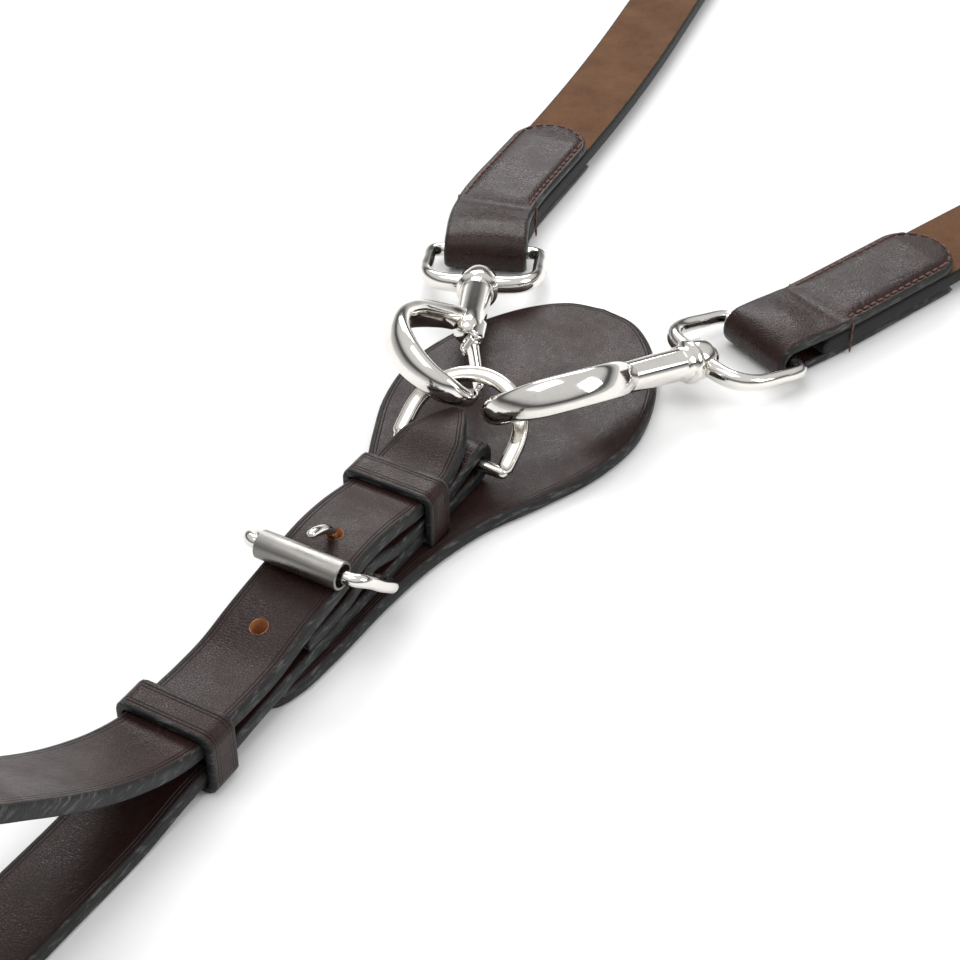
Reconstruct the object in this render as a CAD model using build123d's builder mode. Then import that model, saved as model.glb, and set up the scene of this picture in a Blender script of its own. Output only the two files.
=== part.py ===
"""Leather hunting martingale: chest plate, girth strap with roller buckle, ring, two shoulder straps on snaps."""
import os
from math import cos, radians, sin

from build123d import *

os.makedirs("parts", exist_ok=True)

# Frame: +Z up, Z = 0 is the ground it lies on, +Y runs up the girth strap towards the chest,
# X = 0 is the middle of the girth strap and Y = 0 is the roller of the buckle.

# ---- leather ----
STRAP_W = 25.0          # girth strap width (1 inch)
STRAP_T = 5.0           # bridle leather of the girth strap
CHAPE_T = 4.6           # skived leather of the part turned round the ring
PLATE_T = 5.0           # chest plate
LAY = 0.2               # air between two layers of leather
ROUND = 1.2             # rounded leather edge
KEEPER_T = 2.5          # leather of the keepers
HOLE_D = 5.0            # punched holes of the billet
HOLES_Y = (16.0, -21.0)  # hole the tongue is in, and the next one down
CHAPE_END_Y = -16.0     # where the turned-back leather stops

# ---- buckle ----
ROLLER_L = 27.0
ROLLER_R = 4.2
ROLLER_BORE_R = 3.4
ROLLER_Z = 26.6
BAR_R = 2.0             # round wire of the buckle
HEEL_Y = 17.0
HEEL_Z = PLATE_T + LAY + CHAPE_T + 0.1 + BAR_R
FRAME_HALF_W = 18.0     # heel bar, half its length
ROLLER_PIN_X = 16.4     # half the length of the roller's pin

# ---- ring (half ring with a straight bar) ----
RING_Y = 76.0
RING_R = 2.0            # straight bar of the ring
RING_HALF_W = 18.5      # middle of the wire, across the ring
RING_X = 1.5            # it has slid a little to the right in its fold
RING_DEEP = 27.0        # from the bar to the top of the arc
RING_TILT = 33.0        # the ring stands up this far from the ground
FOLD_R = RING_R + 0.3 + CHAPE_T / 2
RING_Z = PLATE_T + LAY + CHAPE_T / 2 + FOLD_R
RING_FLAT = 5.0         # width of the flat band the ring is made of
RING_THICK = 4.0

# ---- keepers ----
KEEPER_L = 10.5         # length of a keeper along the strap
KEEPER_IN_W = STRAP_W + 0.8
LOWER_KEEPER_Y = -58.5
LOWER_KEEPER_TOP = 20.6
UPPER_KEEPER_Y = 48.0

# ---- girth loop ----
SPLIT_Y = -59.0         # under the lower keeper, where the loop meets the billet and the chape strap
LOOP_TURN = 1.5         # the loop swings this many degrees to the left
LOOP_R = 40.0           # far end of the girth loop
GROUND_Z = STRAP_T / 2 + 0.05

# ---- snaps and shoulder straps ----
SHOULDER_LEG_T = 3.4
SHOULDER_T = 5.4
SHOULDER_W = 29.0
EYE_R = 2.3             # round wire of the swivel eye
EYE_BAR_Z = SHOULDER_LEG_T + 3.2
EYE_HALF_W = 19.5       # middle of the wire
EYE_BACK = 36.0         # from the swivel collar to the bar in the strap
BARREL_R = 5.2
BARREL_LEN = 30.0
BOSS_R = 6.6
COLLAR_R = 7.2
COLLAR_T = 3.2
STEM_R = 2.6
STEM_HEAD_R = 3.8


# ================= chest plate =================
half = [(14.0, 0.0), (14.4, 18.0), (16.6, 40.0), (21.6, 60.0), (30.8, 80.0), (38.4, 99.0),
        (41.6, 119.0), (38.8, 137.0), (32.5, 153.0), (22.5, 168.0), (12.0, 176.5)]
PLATE_TOP_Y = 179.0
PLATE_LOW_Y = -33.0
PLATE_X = 1.0           # the plate is sewn a little to the right of the strap
with BuildPart() as chest_plate:
    with BuildSketch(Plane(origin=(PLATE_X, 0, 0))) as outline:
        with BuildLine():
            low = Spline((0, PLATE_LOW_Y), (9.5, PLATE_LOW_Y + 3.0), half[0], tangents=((1, 0), (0.02, 1)))
            side = Spline(*half, (0, PLATE_TOP_Y), tangents=((0.02, 1), (-1, 0.0)))
            Line((0, PLATE_TOP_Y), (0, PLATE_LOW_Y))
        make_face()
        mirror(about=Plane.YZ)
    extrude(amount=PLATE_T)

# ================= strap turned round the ring =================
layer_low = PLATE_T + LAY + CHAPE_T / 2
layer_top = layer_low + CHAPE_T + LAY
over_bar = HEEL_Z + BAR_R + 0.15 + CHAPE_T / 2
KEEPER_FLOOR = KEEPER_T + 0.3
with BuildPart() as chape_strap:
    with BuildLine(Plane.YZ) as run:
        first = Spline((CHAPE_END_Y, layer_top), (4.0, layer_top + 0.5), (HEEL_Y, over_bar),
                       (31.0, layer_top + 0.4), (56.0, layer_top + 0.1), (67.0, layer_top + 2.5),
                       (RING_Y, RING_Z + FOLD_R), tangents=((1, 0), (1, 0)))
        bend = ThreePointArc((RING_Y, RING_Z + FOLD_R), (RING_Y + FOLD_R, RING_Z), (RING_Y, RING_Z - FOLD_R))
        back = Line((RING_Y, RING_Z - FOLD_R), (-27.0, layer_low))
        drop = Spline((-27.0, layer_low), (-44.0, layer_low - 1.0),
                      (SPLIT_Y + 0.3, KEEPER_FLOOR + CHAPE_T / 2 + 0.1), tangents=((-1, 0), (-1, 0)))
    middle = run.wire()
    with BuildSketch(Plane(origin=middle @ 0, x_dir=(1, 0, 0), z_dir=middle % 0)):
        RectangleRounded(STRAP_W, CHAPE_T, ROUND)
    sweep(path=middle)
    # slot the tongue comes up through
    with BuildSketch(Plane.XY.offset(HEEL_Z - BAR_R - 1.8)):
        with Locations((0, HEEL_Y - 1.0)):
            SlotOverall(13.0, 5.4, rotation=90)
    extrude(amount=14.0, mode=Mode.SUBTRACT)

# ================= billet =================
billet_run = [(SPLIT_Y + 0.3, 15.0), (-42.0, 14.0), (-30.0, 14.4), (-20.0, 16.4), (-12.0, 17.8),
              (0.0, 19.5), (9.0, 21.1), (HEEL_Y, 21.7), (28.0, 20.9), (40.0, 18.6), (50.0, 17.8), (60.0, 18.7), (70.0, 21.1), (79.0, 21.5),
              (90.0, 19.9)]
TIP_Y = 85.0
with BuildPart() as billet:
    with BuildLine(Plane.YZ) as run:
        Spline(*billet_run)
    middle = run.wire()
    with BuildSketch(Plane(origin=middle @ 0, x_dir=(1, 0, 0), z_dir=middle % 0)):
        RectangleRounded(STRAP_W, STRAP_T, ROUND)
    sweep(path=middle)
    # pointed end
    with BuildSketch(Plane.XY):
        with BuildLine():
            Spline((0, TIP_Y), (5.6, TIP_Y - 6.5), (10.6, TIP_Y - 16.0), (STRAP_W / 2 + 0.3, TIP_Y - 27.0))
            Line((STRAP_W / 2 + 0.3, TIP_Y - 27.0), (STRAP_W, TIP_Y - 27.0))
            Line((STRAP_W, TIP_Y - 27.0), (STRAP_W, TIP_Y + 20.0))
            Line((STRAP_W, TIP_Y + 20.0), (0, TIP_Y + 20.0))
            Line((0, TIP_Y + 20.0), (0, TIP_Y))
        make_face()
        mirror(about=Plane.YZ)
    extrude(amount=40.0, mode=Mode.SUBTRACT)
    # punched holes
    with Locations(*[(0, y, 20.0) for y in HOLES_Y]):
        Cylinder(HOLE_D / 2, 30.0, mode=Mode.SUBTRACT)

# ================= girth loop =================
with BuildPart() as straight_loop:
    with BuildLine(Plane.YZ) as run:
        lower = Spline((-0.5, KEEPER_FLOOR + STRAP_T / 2), (-12.0, KEEPER_FLOOR + STRAP_T / 2 - 0.5),
                       (-30.0, GROUND_Z), (-60.0, GROUND_Z), tangents=((-1, 0), (-1, 0)))
        flat = Line((-60.0, GROUND_Z), (-118.0, GROUND_Z))
        far = ThreePointArc((-118.0, GROUND_Z), (-118.0 - LOOP_R, GROUND_Z + LOOP_R),
                            (-118.0, GROUND_Z + 2 * LOOP_R))
        upper = Spline((-118.0, GROUND_Z + 2 * LOOP_R), (-92.0, 71.5), (-65.0, 50.8), (-51.0, 39.6), (-36.0, 28.8),
                       (-19.0, 19.6), (-6.5, 15.4), (-0.5, 15.0), tangents=((1, 0), (1, 0)))
    for piece in (lower, flat, far, upper):
        with BuildSketch(Plane(origin=piece @ 0, x_dir=(1, 0, 0), z_dir=piece % 0)):
            RectangleRounded(STRAP_W, STRAP_T, ROUND)
        sweep(path=piece)

with BuildPart() as girth_loop:
    with Locations(Location((0, SPLIT_Y, 0), (0, 0, -LOOP_TURN))):
        add(straight_loop.part)

# ================= keepers =================
def keeper(low, high, width=KEEPER_IN_W):
    """Leather band round the strap: Y is its length, low and high are its outer faces."""
    with BuildPart() as band:
        with BuildSketch(Plane.XZ):
            with Locations((0, (low + high) / 2)):
                RectangleRounded(width + 2 * KEEPER_T, high - low, 3.4)
                RectangleRounded(width, high - low - 2 * KEEPER_T, 1.5, mode=Mode.SUBTRACT)
        extrude(amount=KEEPER_L / 2, both=True)
        flat_ends = band.faces().filter_by(Axis.Y)
        fillet(flat_ends.edges(), 0.6)
    return band.part


with BuildPart() as lower_keeper:
    with Locations((0, LOWER_KEEPER_Y, 0)):
        add(keeper(0.0, LOWER_KEEPER_TOP))

billet_at_keeper = 17.8 + STRAP_T / 2
with BuildPart() as upper_keeper:
    with Locations((0, UPPER_KEEPER_Y, 0)):
        add(keeper(PLATE_T + 0.05 - KEEPER_T, billet_at_keeper + 0.4 + KEEPER_T))
    # the two ends are let into the plate under the strap: only the part above the plate is leather to see
    with Locations((0, UPPER_KEEPER_Y, (PLATE_T + 0.05) / 2 - 2.0)):
        Box(STRAP_W * 3, KEEPER_L * 2, PLATE_T + 0.05 + 4.0, mode=Mode.SUBTRACT)


# ================= buckle =================
with BuildPart() as buckle_frame:
    # pin of the roller, heel bar and the two cheeks between them
    with BuildSketch(Plane(origin=(-ROLLER_PIN_X, 0, ROLLER_Z), z_dir=(1, 0, 0))):
        Circle(BAR_R)
    extrude(amount=2 * ROLLER_PIN_X)
    with BuildSketch(Plane(origin=(-FRAME_HALF_W, HEEL_Y, HEEL_Z), z_dir=(1, 0, 0))):
        Circle(BAR_R)
    extrude(amount=2 * FRAME_HALF_W)
    for side in (-1, 1):
        with BuildLine() as cheek_run:
            Spline((side * ROLLER_PIN_X, 0, ROLLER_Z), (side * 19.2, 3.6, ROLLER_Z - 2.2),
                   (side * 20.2, 11.0, ROLLER_Z - 9.0), (side * FRAME_HALF_W, HEEL_Y, HEEL_Z),
                   tangents=((side, 0.4, -0.2), (-side, 0.5, -0.5)))
        cheek = cheek_run.wire()
        with BuildSketch(Plane(origin=cheek @ 0, z_dir=cheek % 0)):
            Circle(BAR_R)
        sweep(path=cheek)
        with Locations(cheek @ 0, cheek @ 1):
            Sphere(BAR_R)

with BuildPart() as roller:
    with BuildSketch(Plane(origin=(-ROLLER_L / 2, 0, ROLLER_Z), z_dir=(1, 0, 0))):
        Circle(ROLLER_R)
        Circle(ROLLER_BORE_R, mode=Mode.SUBTRACT)
    extrude(amount=ROLLER_L)
    fillet(roller.edges().filter_by(GeomType.CIRCLE).group_by(SortBy.RADIUS)[-1], 0.3)

TONGUE_R = 1.5
with BuildPart() as tongue:
    with BuildLine(Plane.YZ) as run:
        Spline((HEEL_Y, HEEL_Z + BAR_R + 0.6), (HEEL_Y - 0.5, HEEL_Z + 8.5), (HEEL_Y - 2.4, ROLLER_Z - 0.6),
               (HEEL_Y - 6.6, ROLLER_Z + 3.2), (HEEL_Y - 12.5, ROLLER_Z + 5.9))
    middle = run.wire()
    with BuildSketch(Plane(origin=middle @ 0, z_dir=middle % 0)):
        Circle(TONGUE_R)
    sweep(path=middle)
    with Locations(middle @ 1):
        Sphere(TONGUE_R)
    # eye of the tongue round the heel bar
    with BuildSketch(Plane(origin=(-1.6, HEEL_Y, HEEL_Z), z_dir=(1, 0, 0))):
        Circle(BAR_R + 1.45)
        Circle(BAR_R + 0.06, mode=Mode.SUBTRACT)
    extrude(amount=3.2)

# ================= ring =================
tilt = radians(RING_TILT)
ring_plane = Plane(origin=(RING_X, RING_Y, RING_Z), x_dir=(1, 0, 0), z_dir=(0, -sin(tilt), cos(tilt)))
with BuildPart() as ring:
    with BuildSketch(ring_plane):
        leg = RING_DEEP - RING_HALF_W
        with BuildLine():
            Line((-RING_HALF_W - RING_FLAT / 2, -RING_R), (-RING_HALF_W - RING_FLAT / 2, leg))
            ThreePointArc((-RING_HALF_W - RING_FLAT / 2, leg), (0, RING_DEEP + RING_FLAT / 2),
                          (RING_HALF_W + RING_FLAT / 2, leg))
            Line((RING_HALF_W + RING_FLAT / 2, leg), (RING_HALF_W + RING_FLAT / 2, -RING_R))
            Line((RING_HALF_W + RING_FLAT / 2, -RING_R), (-RING_HALF_W - RING_FLAT / 2, -RING_R))
        make_face()
        with BuildLine():
            Line((-RING_HALF_W + RING_FLAT / 2, -RING_R), (-RING_HALF_W + RING_FLAT / 2, leg))
            ThreePointArc((-RING_HALF_W + RING_FLAT / 2, leg), (0, RING_DEEP - RING_FLAT / 2),
                          (RING_HALF_W - RING_FLAT / 2, leg))
            Line((RING_HALF_W - RING_FLAT / 2, leg), (RING_HALF_W - RING_FLAT / 2, -RING_R))
            Line((RING_HALF_W - RING_FLAT / 2, -RING_R), (-RING_HALF_W + RING_FLAT / 2, -RING_R))
        make_face(mode=Mode.SUBTRACT)
    extrude(amount=RING_THICK / 2, both=True)
    fillet(ring.faces().sort_by(Axis(ring_plane.origin, ring_plane.z_dir))[-1].edges(), 1.2)
    fillet(ring.faces().sort_by(Axis(ring_plane.origin, ring_plane.z_dir))[0].edges(), 1.2)
    with BuildSketch(Plane(origin=(RING_X - RING_HALF_W, RING_Y, RING_Z), z_dir=(1, 0, 0))):
        Circle(RING_R)
    extrude(amount=2 * RING_HALF_W)


# ================= swivel snaps =================
class Snap:
    """Where one snap lies: collar of the swivel, its axis towards the hook, and the side the hook bows to."""

    def __init__(self, collar, heading, fall, bow, strap_heading, far_heading):
        self.collar = Vector(*collar)
        flat = radians(heading)
        self.axis = Vector(-sin(flat) * cos(radians(fall)), -cos(flat) * cos(radians(fall)), sin(radians(fall)))
        lean = Vector(*bow)
        self.bow = (lean - self.axis * lean.dot(self.axis)).normalized()
        self.normal = self.axis.cross(self.bow)
        self.hook_plane = Plane(origin=self.collar, x_dir=self.axis, z_dir=self.normal)
        self.across = Vector(cos(flat), -sin(flat), 0)
        back = self.axis * -1
        self.eye_plane = Plane(origin=self.collar, x_dir=self.across, z_dir=self.across.cross(back))
        self.bar = self.collar - self.axis * EYE_BACK
        self.heading = heading
        self.strap_heading = strap_heading
        self.far_heading = far_heading


SNAP_RISE = 10.0        # the snaps climb this many degrees from the straps to the ring
COLLAR_Z = EYE_BAR_Z + EYE_BACK * sin(radians(SNAP_RISE))
left = Snap((-35.5, 155.0, COLLAR_Z), -25.0, SNAP_RISE, (-0.87, -0.43, 0.60), -4.5, -10.0)
right = Snap((42.5, 153.0, COLLAR_Z), 24.5, SNAP_RISE, (0.70, -0.31, 0.63), 19.5, 20.5)

HOOK_TIP = (67.5, -8.0)
GATE_PIN = (38.0, -2.6)
GATE_PIN_R = 1.0
EAR_IN = 2.5            # the gate swings between two ears of the hook
EAR_OUT = 4.3


def hook_body(snap):
    with BuildPart() as hook:
        # barrel and collar
        with BuildSketch(Plane(origin=snap.collar - snap.axis * COLLAR_T, z_dir=snap.axis)):
            Circle(COLLAR_R)
        extrude(amount=COLLAR_T)
        fillet(hook.edges().filter_by(GeomType.CIRCLE), 0.9)
        with BuildSketch(Plane(origin=snap.collar, z_dir=snap.axis)):
            Circle(BARREL_R)
        extrude(amount=BARREL_LEN)
        with Locations(snap.collar + snap.axis * BARREL_LEN):
            Sphere(BARREL_R)
        # ears of the gate
        with BuildSketch(Plane(origin=snap.hook_plane.origin, x_dir=snap.axis, z_dir=snap.normal)):
            with Locations((GATE_PIN[0] - 5.5, GATE_PIN[1] + 0.2)):
                SlotOverall(15.5, 4.6)
        extrude(amount=EAR_OUT, both=True)
        with BuildSketch(Plane(origin=snap.hook_plane.origin, x_dir=snap.axis, z_dir=snap.normal)):
            with Locations((GATE_PIN[0] + 6.0, GATE_PIN[1])):
                Rectangle(17.0, 9.0)
        extrude(amount=EAR_IN, both=True, mode=Mode.SUBTRACT)
        with BuildSketch(snap.hook_plane):
            with Locations(GATE_PIN):
                Circle(GATE_PIN_R)
        extrude(amount=EAR_OUT + 1.0, both=True, mode=Mode.SUBTRACT)
        # stem of the swivel, through the boss of the eye, with its riveted head
        with BuildSketch(Plane(origin=snap.collar - snap.axis * (COLLAR_T + 9.0), z_dir=snap.axis)):
            Circle(STEM_R)
        extrude(amount=9.5)
        with BuildSketch(Plane(origin=snap.collar - snap.axis * (COLLAR_T + 9.0), z_dir=snap.axis)):
            Circle(STEM_HEAD_R)
        extrude(amount=2.6)
        # bowed band, wide in the middle and narrow at both ends
        with BuildLine(snap.hook_plane) as run:
            Spline((24.0, 1.5), (31.0, 9.5), (41.0, 18.5), (52.0, 23.0), (64.0, 21.3), (73.4, 14.0), (77.0, 4.5),
                   (74.6, -4.4), HOOK_TIP)
        band = run.wire()
        for place, wide, thick in ((0.0, 8.0, 6.0), (0.3, 11.0, 6.4), (0.62, 11.0, 6.6), (0.86, 7.6, 5.6),
                                   (1.0, 4.2, 3.6)):
            with BuildSketch(Plane(origin=band @ place, x_dir=snap.normal, z_dir=band % place)):
                Ellipse(wide / 2, thick / 2)
        sweep(path=band, multisection=True)
        with Locations(band @ 1):
            Sphere(1.7)
    return hook.part


def snap_gate(snap):
    with BuildPart() as gate:
        with BuildLine(snap.hook_plane) as run:
            Line((GATE_PIN[0] + 0.5, GATE_PIN[1]), (HOOK_TIP[0] - 2.2, HOOK_TIP[1]))
        bar = run.wire()
        with BuildSketch(Plane(origin=bar @ 0, x_dir=snap.normal, z_dir=bar % 0)):
            RectangleRounded(4.6, 2.6, 0.9)
        sweep(path=bar)
        with BuildSketch(snap.hook_plane):
            with Locations(GATE_PIN):
                Circle(2.1)
        extrude(amount=2.3, both=True)
        with BuildSketch(snap.hook_plane):
            with Locations(GATE_PIN):
                Circle(GATE_PIN_R + 0.06)
        extrude(amount=5.0, both=True, mode=Mode.SUBTRACT)
    return gate.part


def gate_pin(snap):
    with BuildPart() as pin:
        with BuildSketch(snap.hook_plane):
            with Locations(GATE_PIN):
                Circle(GATE_PIN_R - 0.01)
        extrude(amount=EAR_OUT + 0.4, both=True)
    return pin.part


def swivel_eye(snap):
    """Wire eye: boss round the stem, arms out to both sides and the straight bar the strap hangs on."""
    with BuildPart() as eye:
        with BuildLine(snap.eye_plane) as run:
            Polyline((0, 6.4), (9.5, 6.8), (15.6, 9.0), (18.6, 12.8), (EYE_HALF_W, 18.0), (EYE_HALF_W, EYE_BACK - 3.0),
                     (EYE_HALF_W - 3.0, EYE_BACK), (-EYE_HALF_W + 3.0, EYE_BACK), (-EYE_HALF_W, EYE_BACK - 3.0),
                     (-EYE_HALF_W, 18.0), (-18.6, 12.8), (-15.6, 9.0), (-9.5, 6.8), (0, 6.4))
        corners = [edge @ 0 for edge in run.edges()]
        for edge in run.edges():
            with BuildSketch(Plane(origin=edge @ 0, z_dir=edge % 0)):
                Circle(EYE_R)
            extrude(amount=edge.length)
        with Locations(*corners):
            Sphere(EYE_R)
        # boss, with the bore for the stem
        with BuildSketch(Plane(origin=snap.collar - snap.axis * (COLLAR_T + 0.15), z_dir=snap.axis * -1)):
            Circle(BOSS_R)
        extrude(amount=6.1)
        with BuildSketch(Plane(origin=snap.collar - snap.axis * COLLAR_T, z_dir=snap.axis * -1)):
            Circle(STEM_R + 0.06)
        extrude(amount=12.0, mode=Mode.SUBTRACT)
        with BuildSketch(Plane(origin=snap.collar - snap.axis * (COLLAR_T + 6.25), z_dir=snap.axis * -1)):
            Circle(STEM_HEAD_R + 0.3)
        extrude(amount=8.0, mode=Mode.SUBTRACT)
    return eye.part


# ================= shoulder straps =================
CHAPE_LEN = 85.0        # top leg of the leather chape, from the bar of the eye
LEG_SHORT = 7.0         # the leg underneath stops this much sooner
STRAP_LEN = 300.0       # shoulder strap from one bar to the other
LEG_LOW_Z = SHOULDER_LEG_T / 2 + 0.02
LEG_TOP_Z = 2 * EYE_BAR_Z - LEG_LOW_Z
STRAP_MID_Z = EYE_BAR_Z
END_LEG = 56.0          # legs of the loop at the far end
END_GAP = 14.0          # open part of that loop
STITCH_PITCH = 4.0
STITCH_IN = 2.4         # seam, in from the edge of the leather
THREAD = 0.7


def heading_vector(angle):
    return Vector(sin(radians(angle)), cos(radians(angle)), 0)


def plan_points(snap):
    """Middle of one shoulder strap seen from above: bar of the eye, chape, and on to the far loop."""
    points = [Vector(snap.bar.X, snap.bar.Y, 0)]
    angle = snap.heading
    step = 12.5
    count = int(STRAP_LEN / step)
    for index in range(count):
        along = index * step
        near = max(0.0, 1.0 - along / 30.0)
        far = min(1.0, max(0.0, (along - 60.0) / 120.0))
        angle = snap.strap_heading + (snap.heading - snap.strap_heading) * near
        angle += (snap.far_heading - snap.strap_heading) * far
        points.append(points[-1] + heading_vector(angle) * step)
    return points


def leg(snap, length, mid_z, rounded):
    """One leg of a chape: a flat strip that follows the strap."""
    points = [p + Vector(0, 0, mid_z) for p in plan_points(snap)]
    with BuildPart() as strip:
        with BuildLine() as run:
            Spline(*points)
        whole = run.wire()
        part_of = whole.trim(0.0, length / whole.length)
        start_across = (part_of % 0).cross(Vector(0, 0, 1))
        with BuildSketch(Plane(origin=part_of @ 0, x_dir=start_across, z_dir=part_of % 0)):
            RectangleRounded(SHOULDER_W, SHOULDER_LEG_T, 0.9)
        sweep(path=part_of)
        if rounded:
            end = part_of @ 1
            ahead = part_of % 1
            with BuildSketch(Plane(origin=end, x_dir=ahead.cross(Vector(0, 0, 1)), z_dir=(0, 0, 1))):
                with Locations((0, -5.5)):
                    Rectangle(SHOULDER_W + 4.0, 15.0)
                with Locations((0, -13.0)):
                    Ellipse(SHOULDER_W / 2 + 0.1, 13.0, mode=Mode.SUBTRACT)
            extrude(amount=SHOULDER_LEG_T, both=True, mode=Mode.SUBTRACT)
    return strip.part


def fold(middle, across, forward):
    """Leather turned round a bar: half a tube lying across the strap."""
    with BuildPart() as turn_back:
        with BuildSketch(Plane(origin=middle - across * (SHOULDER_W / 2), x_dir=forward, z_dir=across)):
            Circle(EYE_BAR_Z - 0.02)
            Circle(EYE_BAR_Z - SHOULDER_LEG_T - 0.02, mode=Mode.SUBTRACT)
            with Locations((-EYE_BAR_Z, 0)):
                Rectangle(2 * EYE_BAR_Z, 4 * EYE_BAR_Z, mode=Mode.SUBTRACT)
        extrude(amount=SHOULDER_W)
        fillet(turn_back.faces().filter_by(Axis(middle, across)).edges().filter_by(GeomType.CIRCLE), 0.8)
    return turn_back.part


def shoulder_chape(snap):
    forward = heading_vector(snap.heading) * -1
    with BuildPart() as chape:
        add(fold(snap.bar, snap.across, forward))
        add(leg(snap, CHAPE_LEN, LEG_TOP_Z, True))
        add(leg(snap, CHAPE_LEN - LEG_SHORT, LEG_LOW_Z, False))
    return chape.part


def shoulder_strap(snap):
    points = plan_points(snap)
    headings = [(b - a).normalized() for a, b in zip(points[:-1], points[1:])]
    headings.append(headings[-1])
    half_width = SHOULDER_W / 2 - 0.3
    right_side = [p + h.cross(Vector(0, 0, 1)) * half_width for p, h in zip(points[1:], headings[1:])]
    left_side = [p - h.cross(Vector(0, 0, 1)) * half_width for p, h in zip(points[1:], headings[1:])]
    with BuildPart() as strap:
        with BuildSketch(Plane.XY.offset(STRAP_MID_Z - SHOULDER_T / 2)):
            with BuildLine():
                Spline(*[(p.X, p.Y) for p in right_side])
                Spline(*[(p.X, p.Y) for p in left_side])
                Line((right_side[0].X, right_side[0].Y), (left_side[0].X, left_side[0].Y))
                Line((right_side[-1].X, right_side[-1].Y), (left_side[-1].X, left_side[-1].Y))
            make_face()
        extrude(amount=SHOULDER_T)
    return strap.part


def end_loop(snap):
    """Sewn loop at the far end of a shoulder strap."""
    points = plan_points(snap)
    heading = (points[-1] - points[-2]).normalized()
    across = heading.cross(Vector(0, 0, 1))
    middle = points[-1] + heading * END_GAP + Vector(0, 0, EYE_BAR_Z)
    with BuildPart() as loop:
        add(fold(middle, across, heading))
        for mid_z, length in ((LEG_TOP_Z, END_LEG), (LEG_LOW_Z, END_LEG - LEG_SHORT)):
            start = Vector(middle.X, middle.Y, mid_z)
            with BuildSketch(Plane(origin=start, x_dir=across, z_dir=heading * -1)):
                RectangleRounded(SHOULDER_W, SHOULDER_LEG_T, 0.9)
            extrude(amount=length)
    return loop.part


def seam(snap):
    """Thread along both edges of the top leg, every stitch a short bar lying on the leather."""
    lift = Vector(0, 0, LEG_TOP_Z + SHOULDER_LEG_T / 2 + THREAD / 4 + 0.02)
    with BuildLine() as run:
        Spline(*[p + lift for p in plan_points(snap)])
    whole = run.wire()
    places = []
    first = 26.0
    last = CHAPE_LEN - 13.0
    for index in range(int((last - first) / STITCH_PITCH) + 1):
        where = (first + index * STITCH_PITCH) / whole.length
        for side in (-1, 1):
            right_way = (whole % where).cross(Vector(0, 0, 1))
            spot = whole @ where + right_way * (side * (SHOULDER_W / 2 - STITCH_IN))
            places.append(Location(Plane(origin=spot, x_dir=right_way, z_dir=(0, 0, 1))))
    with BuildPart() as stitches:
        with Locations(*places):
            Box(THREAD, STITCH_PITCH - 1.1, THREAD / 2)
    return stitches.part


# ---- what each snap carries ----
made = {}
for side, snap in (("left", left), ("right", right)):
    made[side + "_hook"] = hook_body(snap)
    made[side + "_gate"] = snap_gate(snap)
    made[side + "_gate_pin"] = gate_pin(snap)
    made[side + "_eye"] = swivel_eye(snap)
    made[side + "_chape"] = shoulder_chape(snap)
    made[side + "_strap"] = shoulder_strap(snap)
    made[side + "_seam"] = seam(snap)
    made[side + "_end_loop"] = end_loop(snap)

made.update(chest_plate=chest_plate.part, chape_strap=chape_strap.part, billet=billet.part, girth_loop=girth_loop.part,
            lower_keeper=lower_keeper.part, upper_keeper=upper_keeper.part, buckle_frame=buckle_frame.part,
            roller=roller.part, tongue=tongue.part, ring=ring.part)
for name, shape in made.items():
    shape.label = name
    export_step(shape, "parts/" + name + ".step")
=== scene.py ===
"""Leather hunting martingale lying flat on a white studio floor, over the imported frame.

Lengths are in millimetres until MM turns them into metres. +Z is up, +Y runs along the girth strap
towards the chest plate, and the origin is on the floor under the roller of the buckle.
"""

import math

import bmesh
import bpy
from mathutils import Euler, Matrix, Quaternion, Vector


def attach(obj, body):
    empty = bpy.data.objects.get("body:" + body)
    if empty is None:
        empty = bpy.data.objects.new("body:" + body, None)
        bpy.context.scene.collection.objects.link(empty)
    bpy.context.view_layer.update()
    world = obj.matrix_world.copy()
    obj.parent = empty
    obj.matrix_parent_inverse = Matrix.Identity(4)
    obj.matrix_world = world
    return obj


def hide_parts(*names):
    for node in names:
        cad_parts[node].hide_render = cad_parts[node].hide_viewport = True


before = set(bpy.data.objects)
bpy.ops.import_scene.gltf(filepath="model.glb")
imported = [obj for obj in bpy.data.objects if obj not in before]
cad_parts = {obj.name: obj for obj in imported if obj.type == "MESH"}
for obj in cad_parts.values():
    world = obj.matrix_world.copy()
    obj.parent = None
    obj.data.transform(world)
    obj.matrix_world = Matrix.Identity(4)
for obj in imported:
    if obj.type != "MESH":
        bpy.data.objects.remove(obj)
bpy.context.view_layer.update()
MM = 0.001

# sizes and places of the pieces, in millimetres
STRAP_W = 25             # the girth strap, its chape and its loop
GIRTH_T = 5.0            # billet and girth loop
TONGUE_HOLE_Y = 16.0
SPARE_HOLE_Y = -21.0
SPLIT_Y = -59.0          # where the billet and the chape pass into the girth loop
ROLLER_Z = 26.6          # axis of the roller and of the pin in it
HEEL_Y = 17.0            # axis of the buckle's heel bar
HEEL_Z = 11.9
RING_Y = 76.0            # axis of the ring's bar in its fold
RING_Z = 12.1
BAR_Z = 6.6              # bar of a swivel eye, and middle of a shoulder strap
SHOULDER_W = 29.0
LEG_T = 3.4              # one leg of a chape or an end loop
LEG_RISE = 4.88          # middle of a leg, above or below the bar
CHAPE_LEN = 85.0
CHAPE_ROUND = 13.0       # length of the rounded end of a chape
SEAM_INSET = 2.4
SEAM_FROM = 26.0
STITCH_STEP = 3.5

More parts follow.
